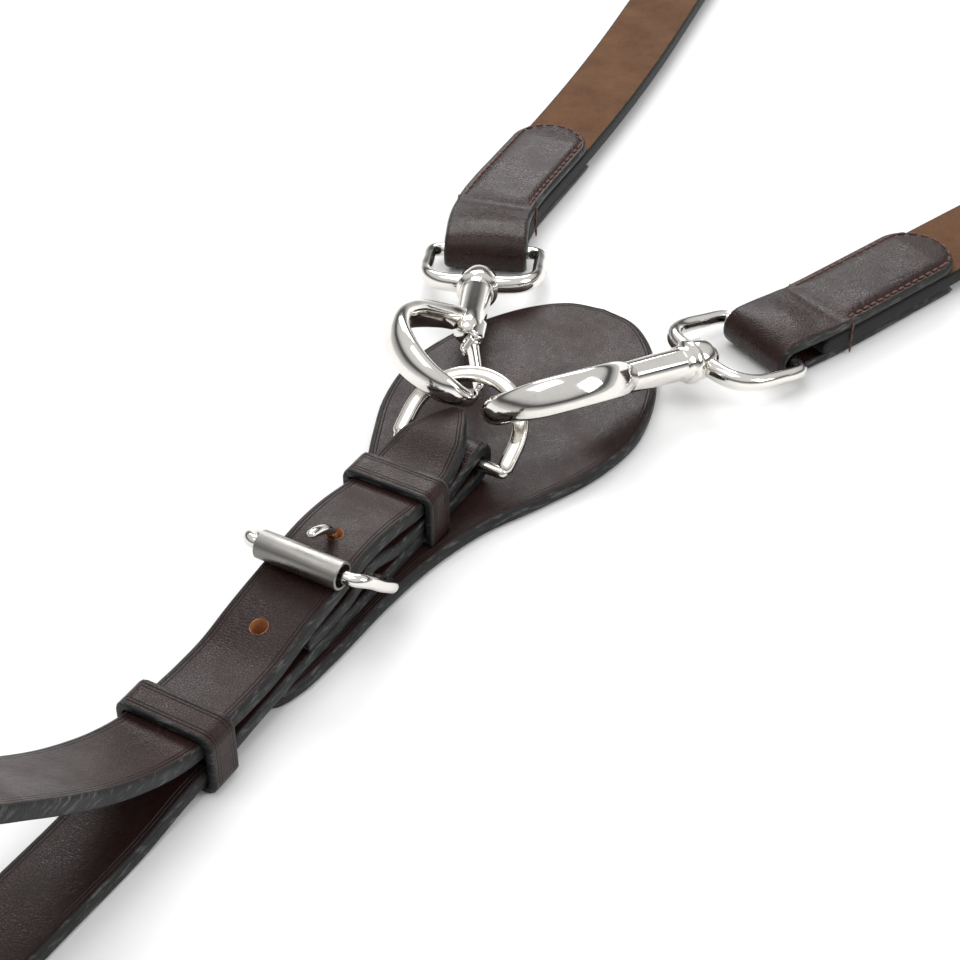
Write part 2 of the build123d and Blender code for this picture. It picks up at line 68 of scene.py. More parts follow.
# ---------------------------------------------------------------- camera
cam_data = bpy.data.cameras.new("Camera")
cam_data.lens = 75.15
cam_data.sensor_width = 36.0
cam_data.clip_start = 0.01
cam = bpy.data.objects.new("Camera", cam_data)
cam.location = (0.25107, -0.32991, 0.38880)
cam.rotation_euler = Euler((math.radians(50.92), math.radians(0.17), math.radians(30.36)))
bpy.context.collection.objects.link(cam)
bpy.context.scene.camera = cam


# ---------------------------------------------------------------- materials
class Nodes:
    """A few short names for building a node tree."""

    def __init__(self, name):
        self.mat = bpy.data.materials.new(name)
        self.mat.use_nodes = True
        self.tree = self.mat.node_tree
        self.bsdf = self.tree.nodes["Principled BSDF"]
        self.coords = self.tree.nodes.new("ShaderNodeTexCoord").outputs["Object"]

    def link(self, source, target):
        self.tree.links.new(source, target)

    def put(self, value, socket):
        if isinstance(value, bpy.types.NodeSocket):
            self.link(value, socket)
        else:
            socket.default_value = value

    def math(self, kind, a, b=0.0, c=0.0, clamp=False):
        node = self.tree.nodes.new("ShaderNodeMath")
        node.operation = kind
        node.use_clamp = clamp
        for value, socket in zip((a, b, c), node.inputs):
            self.put(value, socket)
        return node.outputs[0]

    def span(self, value, low, high, to_low=0.0, to_high=1.0):
        node = self.tree.nodes.new("ShaderNodeMapRange")
        node.interpolation_type = "SMOOTHSTEP"
        for item, socket in zip((value, low, high, to_low, to_high), node.inputs):
            self.put(item, socket)
        return node.outputs["Result"]

    def noise(self, scale, detail=4.0, rough=0.55, where=None, stretch=None, distort=0.0):
        place = where or self.coords
        if stretch:
            bend = self.tree.nodes.new("ShaderNodeMapping")
            bend.inputs["Scale"].default_value = stretch
            self.link(place, bend.inputs["Vector"])
            place = bend.outputs["Vector"]
        node = self.tree.nodes.new("ShaderNodeTexNoise")
        node.inputs["Scale"].default_value = scale
        node.inputs["Detail"].default_value = detail
        node.inputs["Roughness"].default_value = rough
        node.inputs["Distortion"].default_value = distort
        self.link(place, node.inputs["Vector"])
        return node.outputs["Fac"]

    def cells(self, scale):
        node = self.tree.nodes.new("ShaderNodeTexVoronoi")
        node.feature = "DISTANCE_TO_EDGE"
        node.inputs["Scale"].default_value = scale
        self.link(self.coords, node.inputs["Vector"])
        return node.outputs["Distance"]

    def mix(self, factor, a, b):
        node = self.tree.nodes.new("ShaderNodeMix")
        node.data_type = "RGBA"
        self.put(factor, node.inputs["Factor"])
        for value, socket in ((a, node.inputs[6]), (b, node.inputs[7])):
            if isinstance(value, tuple):
                socket.default_value = (*value, 1.0)
            else:
                self.link(value, socket)
        return node.outputs[2]

    def attribute(self, name):
        node = self.tree.nodes.new("ShaderNodeAttribute")
        node.attribute_name = name
        return node

    def bump(self, height, distance, strength):
        node = self.tree.nodes.new("ShaderNodeBump")
        node.inputs["Distance"].default_value = distance
        node.inputs["Strength"].default_value = strength
        self.link(height, node.inputs["Height"])
        return node.outputs["Normal"]


def leather(name, dark, light, rough=0.36, creased=True, wrinkle=0.5, holes=()):
    """Waxed bridle leather: fine pores, soft mottle, pressed lines inside the border darkened with painted
    shade, dark edge paint made pale partly by wear and partly by a painted highlight.
    """
    n = Nodes(name)
    inset = n.attribute("inset").outputs["Fac"]
    along = n.attribute("lay").outputs["Vector"]
    cloud = n.noise(38.0, 5.0, 0.6)
    streak = n.noise(1.0, 5.0, 0.6, along, (60.0, 420.0, 60.0))
    mottle = n.math("ADD", n.math("MULTIPLY", cloud, 0.6), n.math("MULTIPLY", streak, 0.4))
    colour = n.mix(n.span(mottle, 0.36, 0.66), dark, light)
    specks = n.span(n.noise(900.0, 2.0, 0.5), 0.60, 0.74)
    colour = n.mix(n.math("MULTIPLY", specks, 0.35), colour, tuple(c * 1.9 for c in light))
    # dark edge paint, pale along its middle partly from wear and partly as a painted highlight
    wander = n.math("MULTIPLY_ADD", n.noise(220.0, 3.0), 0.7, 0.35)
    edge = n.span(inset, n.math("ADD", wander, 0.35), wander)
    wear_and_highlight = n.span(n.noise(1.0, 4.0, 0.6, None, (160.0, 160.0, 900.0)), 0.52, 0.68)
    # the pale grey mixed into the edge is part wear and part painted highlight
    edge_colour = n.mix(n.math("MULTIPLY", wear_and_highlight, 0.75), (0.0125, 0.0130, 0.0130), (0.085, 0.087, 0.087))
    colour = n.mix(edge, colour, edge_colour)
    # pores, grain and wrinkles, then the pressed lines
    height = n.math("MULTIPLY", n.span(n.cells(1050.0), 0.0, 0.18), 0.20)
    height = n.math("MULTIPLY_ADD", n.noise(560.0, 4.0, 0.65), 0.34, height)
    folds = n.noise(1.0, 4.0, 0.6, along, (110.0, 320.0, 100.0), 0.6)
    height = n.math("MULTIPLY_ADD", folds, wrinkle, height)
    dent = None
    if creased:
        for place, wide, deep in ((1.75, 0.28, 1.0), (2.75, 0.24, 0.7)):
            gap = n.math("ABSOLUTE", n.math("SUBTRACT", inset, place))
            line = n.math("MULTIPLY", n.span(gap, wide, 0.0), deep)
            dent = line if dent is None else n.math("ADD", dent, line)
        # the pressed lines are darkened with painted shade as well as dented
        colour = n.mix(n.math("MULTIPLY", dent, 0.55, 0.0, True), colour, (0.008, 0.006, 0.006))
        height = n.math("MULTIPLY_ADD", dent, -1.4, height)
    shine = n.span(n.noise(60.0, 5.0, 0.65), 0.35, 0.68, rough - 0.05, rough + 0.10)
    scuffs = n.span(n.noise(1.0, 6.0, 0.7, None, (90.0, 700.0, 90.0), 1.2), 0.60, 0.72)
    shine = n.math("MULTIPLY_ADD", scuffs, 0.12, shine)
    shine = n.math("MULTIPLY_ADD", edge, 0.10, shine)
    for x, y in holes:
        # raw leather inside the punched holes
        flat = n.tree.nodes.new("ShaderNodeVectorMath")
        flat.operation = "MULTIPLY_ADD"
        n.link(n.coords, flat.inputs[0])
        flat.inputs[1].default_value = (1.0, 1.0, 0.0)
        flat.inputs[2].default_value = (-x * MM, -y * MM, 0.0)
        far = n.tree.nodes.new("ShaderNodeVectorMath")
        far.operation = "LENGTH"
        n.link(flat.outputs[0], far.inputs[0])
        ragged = n.math("MULTIPLY_ADD", n.noise(700.0, 2.0), 0.0006, far.outputs["Value"])
        raw = n.span(ragged, 0.0031, 0.0028)
        colour = n.mix(raw, colour, (0.40, 0.165, 0.065))
        shine = n.math("MAXIMUM", shine, n.math("MULTIPLY", raw, 0.85))
    n.link(colour, n.bsdf.inputs["Base Color"])
    n.link(shine, n.bsdf.inputs["Roughness"])
    n.bsdf.inputs["Specular IOR Level"].default_value = 0.20
    n.bsdf.inputs["Coat Weight"].default_value = 0.03
    n.bsdf.inputs["Coat Roughness"].default_value = 0.25
    n.link(n.bump(height, 0.00024, 0.9), n.bsdf.inputs["Normal"])
    return n.mat


def suede(name):
    """Brushed flesh side of the shoulder straps with dark painted edges."""
    n = Nodes(name)
    inset = n.attribute("inset").outputs["Fac"]
    lay = n.attribute("lay").outputs["Vector"]
    top = n.attribute("top").outputs["Fac"]
    cloud = n.noise(70.0, 6.0, 0.7)
    fuzz = n.noise(1.0, 3.0, 0.7, lay, (2600.0, 1500.0, 1000.0))
    shade = n.math("ADD", n.math("MULTIPLY", cloud, 0.55), n.math("MULTIPLY", fuzz, 0.45))
    colour = n.mix(n.span(shade, 0.34, 0.66), (0.082, 0.036, 0.016), (0.135, 0.068, 0.034))
    under = n.mix(n.span(cloud, 0.35, 0.65), (0.030, 0.019, 0.016), (0.048, 0.030, 0.025))
    colour = n.mix(top, under, colour)
    wander = n.math("MULTIPLY_ADD", n.noise(260.0, 3.0), 0.8, 0.25)
    edge = n.span(inset, n.math("ADD", wander, 0.3), wander)
    colour = n.mix(edge, colour, (0.0075, 0.0085, 0.0080))
    n.link(colour, n.bsdf.inputs["Base Color"])
    n.link(n.math("MULTIPLY_ADD", edge, -0.35, 0.92), n.bsdf.inputs["Roughness"])
    n.bsdf.inputs["Specular IOR Level"].default_value = 0.12
    n.bsdf.inputs["Sheen Weight"].default_value = 0.06
    n.bsdf.inputs["Sheen Roughness"].default_value = 0.5
    n.link(n.bump(n.math("ADD", fuzz, n.math("MULTIPLY", cloud, 1.4)), 0.00022, 0.8), n.bsdf.inputs["Normal"])
    return n.mat


def metal(name, tint, rough, brushed=0.0, wave=0.4):
    """Plated or brushed metal with handling marks."""
    n = Nodes(name)
    n.bsdf.inputs["Metallic"].default_value = 1.0
    smear = n.noise(55.0, 5.0, 0.6)
    specks = n.span(n.noise(1400.0, 2.0, 0.6), 0.62, 0.76)
    colour = n.mix(n.span(smear, 0.35, 0.7), tint, tuple(c * 0.88 for c in tint))
    colour = n.mix(n.math("MULTIPLY", specks, 0.25), colour, tuple(c * 0.45 for c in tint))
    n.link(colour, n.bsdf.inputs["Base Color"])
    shine = n.span(smear, 0.3, 0.7, rough * 0.8, rough * 1.5)
    n.link(n.math("MULTIPLY_ADD", specks, 0.12, shine), n.bsdf.inputs["Roughness"])
    height = n.math("MULTIPLY", n.noise(120.0, 3.0, 0.5), wave)
    if brushed:
        lines = n.noise(1.0, 3.0, 0.7, None, (90.0, 5200.0, 5200.0))
        height = n.math("MULTIPLY_ADD", lines, brushed, height)
        n.bsdf.inputs["Anisotropic"].default_value = 0.5
    n.link(n.bump(height, 0.00010, 0.6), n.bsdf.inputs["Normal"])
    return n.mat


def thread_material(name):
    n = Nodes(name)
    twist = n.noise(1800.0, 2.0, 0.5)
    n.link(n.mix(twist, (0.060, 0.018, 0.012), (0.150, 0.055, 0.036)), n.bsdf.inputs["Base Color"])
    n.bsdf.inputs["Roughness"].default_value = 0.62
    n.link(n.bump(twist, 0.0001, 0.6), n.bsdf.inputs["Normal"])
    return n.mat


HAVANA = (0.0140, 0.0054, 0.0046)
HAVANA_LIT = (0.0235, 0.0100, 0.0084)
mat_plate = leather("PlateLeather", HAVANA, HAVANA_LIT, 0.38)
mat_girth = leather("GirthLeather", HAVANA, HAVANA_LIT, 0.36, holes=((0, TONGUE_HOLE_Y), (0, SPARE_HOLE_Y)))
mat_plain = leather("ChapeLeather", HAVANA, HAVANA_LIT, 0.27, creased=False, wrinkle=0.8)
mat_keeper = leather("KeeperLeather", HAVANA, HAVANA_LIT, 0.34)
mat_suede = suede("SuedeStrap")
mat_nickel = metal("Nickel", (0.80, 0.775, 0.735), 0.085)
mat_ring = metal("RingNickel", (0.74, 0.71, 0.66), 0.15)
mat_steel = metal("SatinSteel", (0.30, 0.29, 0.275), 0.32, brushed=0.7)
mat_thread = thread_material("Thread")


# ---------------------------------------------------------------- shapes
def smooth_path(points, step=1.5):
    """Points close together on a smooth curve through the given ones."""
    pts = [Vector(p) for p in points]
    pts = [pts[0] * 2 - pts[1]] + pts + [pts[-1] * 2 - pts[-2]]
    out = []
    for i in range(1, len(pts) - 2):
        p0, p1, p2, p3 = pts[i - 1:i + 3]
        t1 = (p1 - p0).length ** 0.5
        t2 = t1 + (p2 - p1).length ** 0.5
        t3 = t2 + (p3 - p2).length ** 0.5
        count = max(2, int((p2 - p1).length / step))
        for k in range(count):
            t = t1 + (t2 - t1) * k / count
            a1 = p0 * ((t1 - t) / t1) + p1 * (t / t1)
            a2 = p1 * ((t2 - t) / (t2 - t1)) + p2 * ((t - t1) / (t2 - t1))
            a3 = p2 * ((t3 - t) / (t3 - t2)) + p3 * ((t - t2) / (t3 - t2))
            b1 = a1 * ((t2 - t) / t2) + a2 * (t / t2)
            b2 = a2 * ((t3 - t) / (t3 - t1)) + a3 * ((t - t1) / (t3 - t1))
            out.append(b1 * ((t2 - t) / (t2 - t1)) + b2 * ((t - t1) / (t2 - t1)))
    out.append(pts[-2])
    return out


def arc(middle, start, axis, degrees, step=9.0):
    """Points on an arc about middle, from start, turning about axis."""
    count = max(2, int(abs(degrees) / step))
    spoke = Vector(start) - Vector(middle)
    turn = [Vector(spoke) for _ in range(count + 1)]
    for k, arm in enumerate(turn):
        arm.rotate(Quaternion(Vector(axis), math.radians(degrees) * k / count))
    return [Vector(middle) + arm for arm in turn]


class Run:
    """A centre line with lengths, so that a place on it can be asked for by distance."""

    def __init__(self, points, closed=False):
        pts = [Vector(p) for p in points]
        self.points = [pts[0]]
        for p in pts[1:]:
            if (p - self.points[-1]).length > 1e-4:
                self.points.append(p)
        if closed:
            self.points.append(self.points[0].copy())
        self.at = [0.0]
        for a, b in zip(self.points, self.points[1:]):
            self.at.append(self.at[-1] + (b - a).length)
        self.length = self.at[-1]
        self.closed = closed
        self.ways = []
        last = len(self.points) - 1
        for i in range(len(self.points)):
            if closed and i in (0, last):
                way = self.points[1] - self.points[-2]
            else:
                way = self.points[min(i + 1, last)] - self.points[max(i - 1, 0)]
            self.ways.append(way.normalized())

    def place(self, where):
        where = min(max(where, 0.0), self.length)
        low, high = 0, len(self.at) - 1
        while high - low > 1:
            mid = (low + high) // 2
            if self.at[mid] <= where:
                low = mid
            else:
                high = mid
        part = (where - self.at[low]) / max(self.at[high] - self.at[low], 1e-9)
        spot = self.points[low].lerp(self.points[high], part)
        way = self.ways[low].lerp(self.ways[high], part).normalized()
        return spot, way


INSETS = (0.0, 0.12, 0.4, 0.8, 1.2, 1.6, 2.0, 2.5, 3.0, 3.8, 5.0, 6.8, 9.0)
FINE_STEP = 0.8          # between sections near a shaped end
FINEST_STEP = 0.35       # and in its last few millimetres
FINEST_END = 4.0


def strip(name, run, width, thick, across, mat, body, nodes=(), half_at=None, rounding=1.3,
          belly=None, step=1.6, ends=(True, True), fine_end=None):
    """A flat strap: a rounded section carried along run. across gives the sideways direction at a place.
    half_at(where) is the half width there, and belly(where, x, half) raises the top face."""
    stations = []
    where = 0.0
    while where < run.length - 1e-6:
        stations.append(where)
        to_go = run.length - where
        if fine_end is None or to_go >= fine_end:
            where += step
        elif to_go >= FINEST_END:
            where += FINE_STEP
        else:
            where += FINEST_STEP
    stations.append(run.length)
    if run.closed:
        stations = stations[:-1]
    full = width / 2
    used = [d for d in INSETS if d < full * 0.75]
    places = [-full + d for d in used] + [0.0] + [full - d for d in reversed(used)]
    sides = [x / full for x in places]
    mesh = bmesh.new()
    inset_layer = mesh.verts.layers.float.new("inset")
    lay_layer = mesh.verts.layers.float_vector.new("lay")
    top_layer = mesh.verts.layers.float.new("top")
    rows = []
    for where in stations:
        spot, way = run.place(where)
        side = across(where, way)
        side = (side - way * side.dot(way)).normalized()
        up = side.cross(way).normalized()
        half = half_at(where) if half_at else full
        to_end = 99.0
        if not run.closed:
            if ends[0]:
                to_end = min(to_end, where)
            if ends[1]:
                to_end = min(to_end, run.length - where)
        row = []
        for face in (1, -1):
            line = []
            for share in sides:
                # the border faces keep their size where the strap narrows a little
                gap = (1 - abs(share)) * full
                if half > full * 0.76 and abs(share) > 0.25:
                    reach = max(half - gap, 0.0)
                else:
                    reach = half * abs(share)
                x = math.copysign(reach, share) if share else 0.0
                inset = min(half - abs(x), to_end)
                drop = 0.0
                if inset < rounding:
                    drop = rounding - math.sqrt(max(rounding ** 2 - (rounding - inset) ** 2, 0.0))
                z = thick / 2 - drop
                if face == 1 and belly:
                    z += belly(where, x, half)
                vert = mesh.verts.new((spot + side * x + up * (face * z)) * MM)
                vert[inset_layer] = inset
                vert[lay_layer] = Vector((where, x, face * 3.0)) * MM
                vert[top_layer] = 1.0 if face == 1 else 0.0
                line.append(vert)
            row.append(line)
        rows.append(row)
    count = len(sides)
    pairs = list(zip(rows, rows[1:]))
    if run.closed:
        pairs.append((rows[-1], rows[0]))
    for a, b in pairs:
        for k in range(count - 1):
            mesh.faces.new((a[0][k], a[0][k + 1], b[0][k + 1], b[0][k]))
            mesh.faces.new((a[1][k + 1], a[1][k], b[1][k], b[1][k + 1]))
        mesh.faces.new((a[1][0], a[0][0], b[0][0], b[1][0]))
        mesh.faces.new((a[0][-1], a[1][-1], b[1][-1], b[0][-1]))
    if not run.closed:
        for row, turn in ((rows[0], False), (rows[-1], True)):
            for k in range(count - 1):
                quad = (row[0][k], row[1][k], row[1][k + 1], row[0][k + 1])
                mesh.faces.new(tuple(reversed(quad)) if turn else quad)
    bmesh.ops.recalc_face_normals(mesh, faces=mesh.faces)
    return finish_mesh(name, mesh, mat, body, nodes)


def finish_mesh(name, mesh, mat, body, nodes=()):
    for face in mesh.faces:
        face.smooth = True
    data = bpy.data.meshes.new(name)
    mesh.to_mesh(data)
    mesh.free()
    obj = bpy.data.objects.new(name, data)
    bpy.context.collection.objects.link(obj)
    data.materials.append(mat)
    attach(obj, body)
    if nodes:
        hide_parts(*nodes)
    return obj


SLAB_INSETS = (0.0, 0.15, 0.45, 0.9, 1.4, 1.8, 2.2, 2.7, 3.2, 4.2)


def slab(name, outline, thick, low, mat, body, nodes, rounding=1.6):
    """A flat piece with a closed outline, rounded at its border."""
    count = len(outline)
    rings = []
    mesh = bmesh.new()
    inset_layer = mesh.verts.layers.float.new("inset")
    lay_layer = mesh.verts.layers.float_vector.new("lay")
    normals = []
    for i in range(count):
        way = (outline[(i + 1) % count] - outline[i - 1]).normalized()
        normals.append(Vector((-way.y, way.x)))
    for face in (1, -1):
        for inset in SLAB_INSETS:
            drop = 0.0
            if inset < rounding:
                drop = rounding - math.sqrt(max(rounding ** 2 - (rounding - inset) ** 2, 0.0))
            ring = []
            for p, normal in zip(outline, normals):
                q = p + normal * inset
                z = low + thick / 2 + face * (thick / 2 - drop)
                vert = mesh.verts.new(Vector((q.x, q.y, z)) * MM)
                vert[inset_layer] = inset
                vert[lay_layer] = Vector((q.y, q.x, face * 3.0)) * MM
                ring.append(vert)
            rings.append(ring)
    per_face = len(SLAB_INSETS)
    for start in (0, per_face):
        for k in range(start, start + per_face - 1):
            a, b = rings[k], rings[k + 1]
            for i in range(count):
                j = (i + 1) % count
                mesh.faces.new((a[i], a[j], b[j], b[i]))
        mesh.faces.new(rings[start + per_face - 1])
    a, b = rings[0], rings[per_face]
    for i in range(count):
        j = (i + 1) % count
        mesh.faces.new((a[j], a[i], b[i], b[j]))
    bmesh.ops.recalc_face_normals(mesh, faces=mesh.faces)
    bmesh.ops.triangulate(mesh, faces=[f for f in mesh.faces if len(f.verts) > 4])
    return finish_mesh(name, mesh, mat, body, nodes)


# ---------------------------------------------------------------- chest plate
PLATE_X = 1.0            # middle of the plate
half_plate = [(0.0, -33.0), (5.5, -32.3), (9.8, -29.6), (12.6, -21.0), (13.6, -10.0), (14.0, 0.0),
              (14.4, 18.0), (16.6, 40.0), (21.6, 60.0), (30.8, 80.0), (38.4, 99.0), (41.6, 119.0),
              (38.8, 137.0), (32.5, 153.0), (22.5, 168.0), (12.0, 176.5), (0.0, 179.0)]
right_half = smooth_path([(x, y, 0.0) for x, y in half_plate], 1.2)
outline = [Vector((p.x + PLATE_X, p.y)) for p in right_half]
outline += [Vector((PLATE_X - p.x, p.y)) for p in reversed(right_half[1:-1])]
slab("chest_plate_v", outline, 4.9, 0.02, mat_plate, "girth", ["chest_plate"])


# ---------------------------------------------------------------- girth strap
def crosswise(where, way):
    return Vector((1, 0, 0))


# the chape: top leg under the billet, round the ring's bar, and back along the plate
chape_run = smooth_path([(0, -16, 12.3), (0, 4, 12.8), (0, 17, 16.35), (0, 31, 12.7), (0, 56, 12.4),
                         (0, 67, 14.8), (0, RING_Y, 16.7)])
chape_run += arc((0, RING_Y, RING_Z), (0, RING_Y, 16.7), (1, 0, 0), -180)[1:]
chape_run += [Vector((0, y, 7.5)) for y in range(74, -28, -2)]
chape_run += smooth_path([(0, -27, 7.5), (0, -44, 6.5), (0, -58.7, 5.2)])[1:]
chape_strap = strip("chape_strap_v", Run(chape_run), STRAP_W, 4.6, crosswise, mat_plain, "girth",
                    ["chape_strap"])

billet_run = Run(smooth_path([(0, -58.7, 15.0), (0, -42, 14.0), (0, -30, 14.4), (0, -20, 16.4),
                              (0, -12, 17.8), (0, 0, 19.5), (0, 9, 21.1), (0, 17, 21.7),
                              (0, 28, 20.9), (0, 40, 18.6), (0, 50, 17.8), (0, 60, 18.7),
                              (0, 70, 21.1), (0, 79, 21.5), (0, 84.9, 20.9)]))
# (distance from the point of the billet, half width there)
TIP = ((0.0, 0.0), (0.5, 1.5), (1.6, 2.9), (6.5, 5.9), (16.0, 10.6), (27.0, 12.5))
NARROWEST = 0.25


def tip_half(where):
    left_over = billet_run.length - where
    for (a, wa), (b, wb) in zip(TIP, TIP[1:]):
        if left_over <= b:
            return max(NARROWEST, wa + (wb - wa) * (left_over - a) / (b - a))
    return STRAP_W / 2


billet = strip("billet_v", billet_run, STRAP_W, GIRTH_T, crosswise, mat_girth, "girth", ["billet"],
               half_at=tip_half, fine_end=30.0)


PUNCH_DEPTH = 14
SHARP_LEATHER = math.radians(38.0)


def punch(obj, places, radius=2.5, stretch=0.0):
    """Cuts holes through a strap: round, or drawn out along the strap by stretch to each side."""
    for index, (x, y, z) in enumerate(places):
        mesh = bmesh.new()
        bmesh.ops.create_cone(mesh, cap_ends=True, segments=40, radius1=radius * MM, radius2=radius * MM,
                              depth=PUNCH_DEPTH * MM)
        for vert in mesh.verts:
            vert.co.y += math.copysign(stretch * MM, vert.co.y)
            vert.co += Vector((x, y, z)) * MM
        data = bpy.data.meshes.new(f"punch_{index}")
        mesh.to_mesh(data)
        mesh.free()
        tool = bpy.data.objects.new(f"punch_{index}", data)
        bpy.context.collection.objects.link(tool)
        cut = obj.modifiers.new("hole", "BOOLEAN")
        cut.operation = "DIFFERENCE"
        cut.solver = "EXACT"
        cut.object = tool
        bpy.context.view_layer.update()
        depsgraph = bpy.context.evaluated_depsgraph_get()
        done = bpy.data.meshes.new_from_object(obj.evaluated_get(depsgraph))
        obj.modifiers.clear()
        obj.data = done
        bpy.data.objects.remove(tool)
    mesh = bmesh.new()
    mesh.from_mesh(obj.data)
    for edge in mesh.edges:
        edge.smooth = edge.calc_face_angle(0.0) < SHARP_LEATHER
    mesh.to_mesh(obj.data)
    mesh.free()


punch(billet, [(0, TONGUE_HOLE_Y, 21.6), (0, SPARE_HOLE_Y, 16.2)])
punch(chape_strap, [(0, TONGUE_HOLE_Y, 15.1)], 2.7, 3.8)

# girth loop, drawn straight from the split and then swung a little to the left
LOOP_LOW = 2.55          # middle of the strap where it lies on the floor
LOOP_HIGH = 82.55
LOOP_FAR = -118          # where the loop turns up, measured from the split
loop_run = smooth_path([(0, -0.5, 5.3), (0, -12, 4.8), (0, -30, LOOP_LOW), (0, -60, LOOP_LOW)])
loop_run += [Vector((0, y, LOOP_LOW)) for y in range(-63, LOOP_FAR, -3)]
loop_run += arc((0, LOOP_FAR, (LOOP_LOW + LOOP_HIGH) / 2), (0, LOOP_FAR, LOOP_LOW), (1, 0, 0), -180, 4.0)
loop_run += smooth_path([(0, LOOP_FAR, LOOP_HIGH), (0, -92, 71.5), (0, -65, 50.8), (0, -51, 39.6),
                         (0, -36, 28.8), (0, -19, 19.6), (0, -6.5, 15.4), (0, -0.5, 15.0)])[1:]
swing = Euler((0, 0, math.radians(-1.5))).to_matrix()
loop_run = [swing @ p + Vector((0, SPLIT_Y, 0)) for p in loop_run]


def loop_side(where, way):
    return swing @ Vector((1, 0, 0))


strip("girth_loop_v", Run(loop_run), STRAP_W, GIRTH_T, loop_side, mat_girth, "girth", ["girth_loop"],
      step=2.0)


# ---------------------------------------------------------------- keepers
KEEPER_LEN = 10.5
KEEPER_T = 2.5
KEEPER_INSIDE = 25.8     # clear width inside a keeper


def keeper(name, y, low, high, body, open_below=None):
    """Band of leather round the strap, between the heights low and high."""
    thick = KEEPER_T
    x = (KEEPER_INSIDE + thick) / 2
    corner = 2.4
    z0 = low + thick / 2
    z1 = high - thick / 2
    points = []
    corners = ((x - corner, z1 - corner, 0), (-x + corner, z1 - corner, 90),
               (-x + corner, z0 + corner, 180), (x - corner, z0 + corner, 270))
    for cx, cz, start in corners:
        for k in range(7):
            a = math.radians(start + 15 * k)
            points.append(Vector((cx + corner * math.cos(a), y, cz + corner * math.sin(a))))
        if start in (0, 180):
            # the long flat side that follows this corner
            sign = 1 if start == 0 else -1
            points += [Vector((sign * (x - corner) * (1 - k / 6), y, cz + sign * corner))
                       for k in range(1, 12)]
    closed = True
    if open_below is not None:
        # the two ends go into the plate, so only the part above it is leather to see
        points = [p for p in points if p.z > open_below]
        right = [Vector((x, y, open_below + 0.1))]
        left = [Vector((-x, y, open_below + 0.1))]
        points = right + points + left
        closed = False
    dense = []
    ring = points + ([points[0]] if closed else [])
    for a, b in zip(ring, ring[1:]):
        count = max(1, int((b - a).length / 1.5))
        dense += [a.lerp(b, k / count) for k in range(count)]
    if not closed:
        dense.append(ring[-1])
    return strip(name, Run(dense, closed), KEEPER_LEN, thick, lambda where, way: Vector((0, -1, 0)),
                 mat_keeper, body, [name[:-2]], rounding=0.7, step=1.1, ends=(False, False))


keeper("lower_keeper_v", -58.5, 0.0, 20.6, "keeper")
keeper("upper_keeper_v", 48.0, 2.55, 23.2, "girth", open_below=5.05)


# ---------------------------------------------------------------- shoulder straps
def compass(angle):
    """Level direction, in degrees clockwise from +Y."""
    return Vector((math.sin(math.radians(angle)), math.cos(math.radians(angle)), 0))


# collar: where the swivel's collar is, seen from above. heading, strap, far: compass directions of the
# snap, of the strap beyond it and of the strap's far end. bow: the way the hook's bow points.
SIDES = {
    "left": dict(collar=(-35.5, 155.0), heading=-25.0, strap=-4.5, far=-10.0, bow=(-0.87, -0.43, 0.60)),
    "right": dict(collar=(42.5, 153.0), heading=24.5, strap=19.5, far=20.5, bow=(0.70, -0.31, 0.63)),
}
EYE_BACK = 36.0          # from the collar back to the bar of the eye
RISE = math.radians(10.0)
for s in SIDES.values():
    turned = math.radians(s["heading"])
    s["axis"] = Vector((-math.sin(turned) * math.cos(RISE), -math.cos(turned) * math.cos(RISE),
                        math.sin(RISE)))
    s["collar"] = Vector((*s["collar"], BAR_Z + EYE_BACK * math.sin(RISE)))
    s["bar"] = tuple((s["collar"] - s["axis"] * EYE_BACK).xy)
    lean = Vector(s["bow"])
    s["bow"] = (lean - s["axis"] * lean.dot(s["axis"])).normalized()
    s["normal"] = s["axis"].cross(s["bow"])
    s["across"] = Vector((math.cos(turned), -math.sin(turned), 0.0))


PLAN_STEP = 12.5         # 24 of them make a shoulder strap of 300


def plan(side):
    """Middle of a shoulder strap seen from above."""
    s = SIDES[side]
    points = [Vector((*s["bar"], 0))]
    for index in range(24):
        along = index * PLAN_STEP
        near = max(0.0, 1.0 - along / 30.0)
        far = min(1.0, max(0.0, (along - 60.0) / 120.0))
        angle = s["strap"] + (s["heading"] - s["strap"]) * near + (s["far"] - s["strap"]) * far
        points.append(points[-1] + compass(angle) * PLAN_STEP)
    return points


def level_side(where, way):
    """Sideways for a strap that lies flat, also where it is turned back under."""
    flat = Vector((way.x, way.y, 0))
    return flat.cross(Vector((0, 0, 1)))


def stitch(mesh, spot, way, up, length=2.9, thick=0.48):
    """One stitch: a plump bead of thread lying along way."""
    across = way.cross(up).normalized()
    rings = []
    for t in (-1.0, -0.86, -0.5, 0.0, 0.5, 0.86, 1.0):
        r = thick * math.sqrt(max(0.02, 1 - t * t))
        centre = spot + way * (t * length / 2)
        rings.append([mesh.verts.new((centre + across * (r * math.cos(a)) + up * (r * math.sin(a))) * MM)
                      for a in (k * math.pi / 4 for k in range(8))])
    for a, b in zip(rings, rings[1:]):
        for k in range(8):
            mesh.faces.new((a[k], a[(k + 1) % 8], b[(k + 1) % 8], b[k]))
    mesh.faces.new(rings[0])
    mesh.faces.new(rings[-1])


